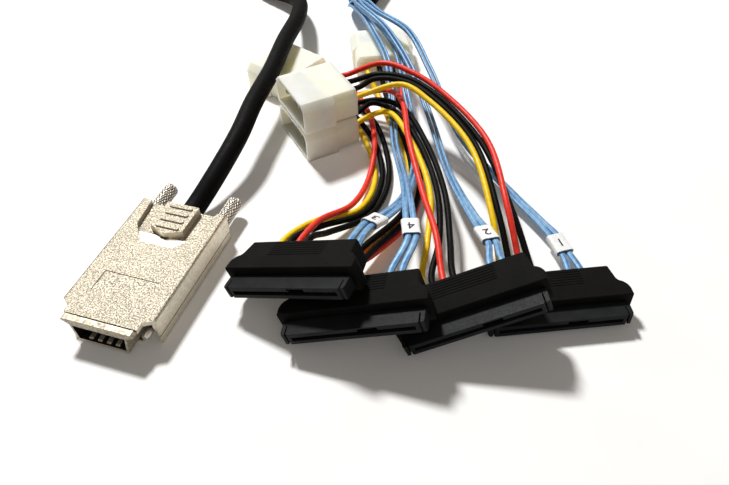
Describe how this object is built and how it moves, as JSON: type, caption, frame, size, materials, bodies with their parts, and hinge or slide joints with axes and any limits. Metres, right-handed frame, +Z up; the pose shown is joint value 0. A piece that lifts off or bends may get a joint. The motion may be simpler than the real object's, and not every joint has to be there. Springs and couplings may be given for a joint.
{
  "type": "external sas cable",
  "caption": "Breakout cable: a die-cast multilane plug with thumbscrews on a round cable, fanned out to drive connectors with flat data strands and power leads.",
  "frame": {"origin": "on the surface it lies on, under the middle of the plug's front shoulder line", "axes": "+Z up from the surface, -Y out of the plug's mating face, +X to the plug's right seen from behind it; +Y runs back along the cable"},
  "size_m": [0.2008, 0.2867, 0.0263],
  "materials": {
    "shell": "bead-blasted plating",
    "plated": "bright plating",
    "knurled": "knurled plating",
    "insulator": "moulded",
    "board": "solder mask",
    "hood": "textured overmould",
    "housing": "smooth moulding",
    "contact": "gold flash",
    "nylon": "natural nylon",
    "wire_yellow": "satin insulation",
    "wire_red": "satin insulation",
    "wire_black": "satin insulation",
    "ribbon": "clear blue film over foil",
    "cable": "satin jacket",
    "sleeve": "printed sleeve"
  },
  "bodies": {
    "cable_set": {"shell_top": "shell", "shell_bottom": "shell", "nose_frame": "plated", "contact_block": "insulator", "paddle_board": "board", "cable_ferrule": "plated", "shell_screw_left": "plated", "shell_screw_right": "plated", "drive_hood_a": "hood", "drive_housing_a": "housing", "drive_contacts_a": "contact", "drive_hood_b": "hood", "drive_housing_b": "housing", "drive_contacts_b": "contact", "drive_hood_c": "hood", "drive_housing_c": "housing", "drive_contacts_c": "contact", "drive_hood_d": "hood", "drive_housing_d": "housing", "drive_contacts_d": "contact", "power_plug_d": "nylon", "power_plug_c": "nylon", "power_plug_a": "nylon", "power_plug_b": "nylon", "wire_yellow_a": "wire_yellow", "wire_black_a_a": "wire_black", "wire_red_a": "wire_red", "wire_black_b_a": "wire_black", "wire_yellow_b": "wire_yellow", "wire_black_a_b": "wire_black", "wire_red_b": "wire_red", "wire_black_b_b": "wire_black", "wire_yellow_c": "wire_yellow", "wire_black_a_c": "wire_black", "wire_red_c": "wire_red", "wire_black_b_c": "wire_black", "wire_yellow_d": "wire_yellow", "wire_black_a_d": "wire_black", "wire_red_d": "wire_red", "wire_black_b_d": "wire_black", "ribbon_a_left": "ribbon", "ribbon_a_right": "ribbon", "ribbon_b_left": "ribbon", "ribbon_b_right": "ribbon", "ribbon_c_left": "ribbon", "ribbon_c_right": "ribbon", "ribbon_d_left": "ribbon", "ribbon_d_right": "ribbon", "cable_main": "cable", "cable_coil": "cable", "breakout_boot": "hood", "cable_tail": "cable", "sleeve_a": "sleeve", "sleeve_b": "sleeve", "sleeve_c": "sleeve", "sleeve_d": "sleeve"},
    "thumbscrew_left_body": {"thumbscrew_left": "knurled"},
    "thumbscrew_right_body": {"thumbscrew_right": "knurled"}
  },
  "joints": [
    {"name": "thumbscrew_left_turn", "type": "hinge", "parent": "cable_set", "child": "thumbscrew_left_body", "pos_m": [-0.0113, 0.03, 0.0049], "axis": [0, 1, 0], "continuous": true},
    {"name": "thumbscrew_right_turn", "type": "hinge", "parent": "cable_set", "child": "thumbscrew_right_body", "pos_m": [0.0113, 0.03, 0.0049], "axis": [0, 1, 0], "continuous": true}
  ]
}
